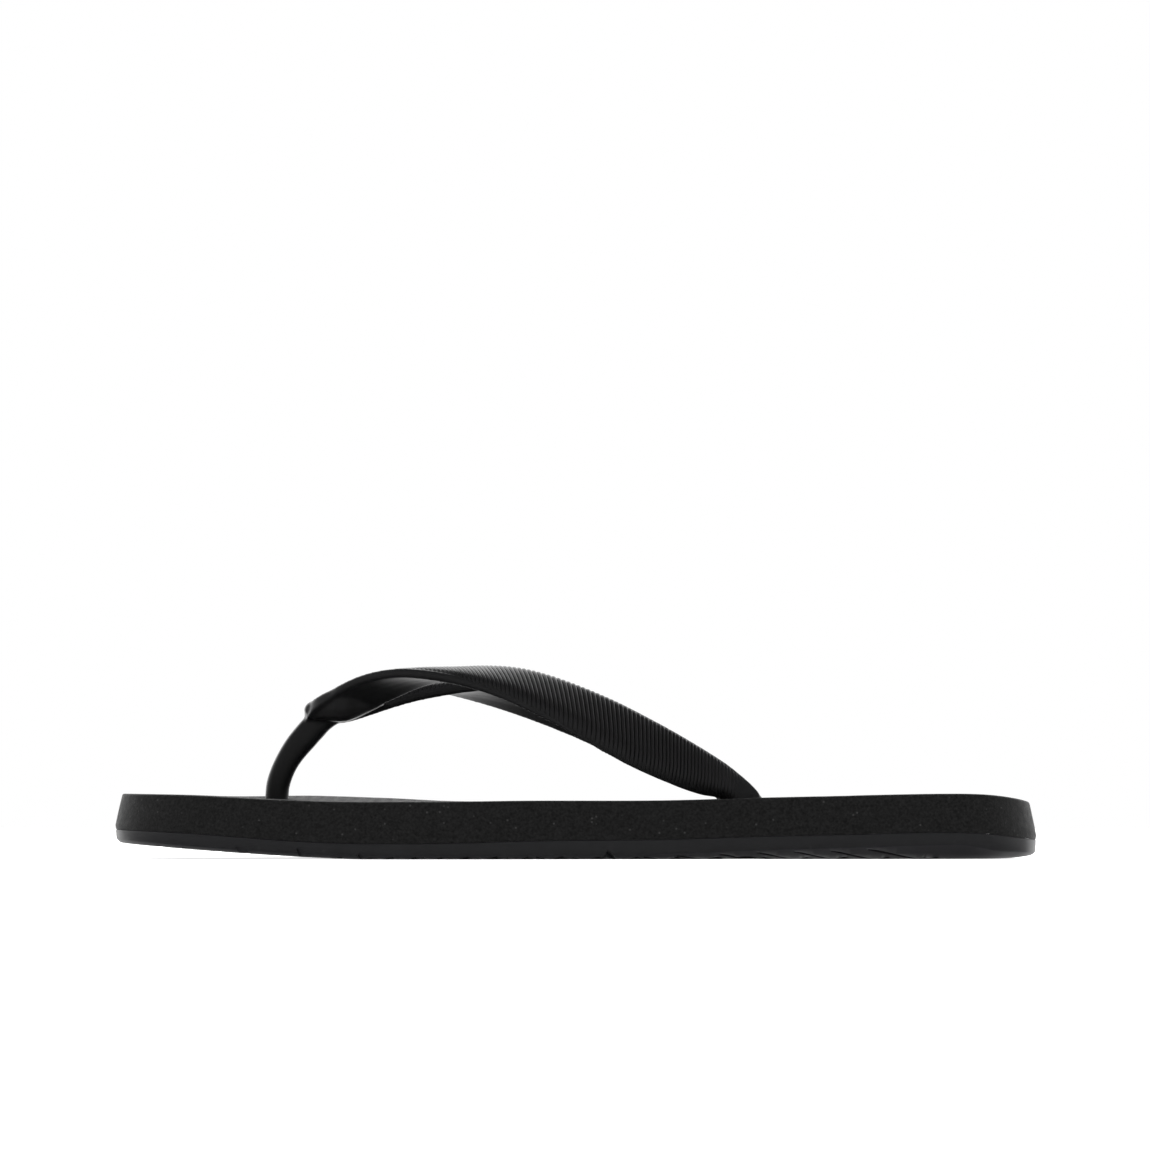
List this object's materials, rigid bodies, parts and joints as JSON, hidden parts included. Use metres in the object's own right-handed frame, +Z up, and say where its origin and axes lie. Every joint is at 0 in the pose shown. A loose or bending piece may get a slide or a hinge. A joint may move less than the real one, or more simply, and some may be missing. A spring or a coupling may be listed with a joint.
{
  "type": "flip flop",
  "caption": "Flat-soled thong sandal with a foam footbed on a rubber outsole and a one-piece ribbed rubber strap that rises from a toe post and splits into arms to both sides.",
  "frame": {"origin": "centre of the bounding box, at the level of the ground the tread stands on", "axes": "+X from the toe to the heel, +Y to the inner (medial) side of this left shoe, +Z up"},
  "size_m": [0.29, 0.1062, 0.0605],
  "materials": {
    "foam": "matte black EVA foam with a fine closed-cell grain and faint light specks",
    "tread_rubber": "satin black moulded rubber, slightly glossier and greyer than the foam",
    "strap_rubber": "satin black injection-moulded rubber with fine ribs between smooth rims"
  },
  "bodies": {
    "root": {"midsole": "foam", "outsole": "tread_rubber", "strap": "strap_rubber"}
  },
  "joints": []
}
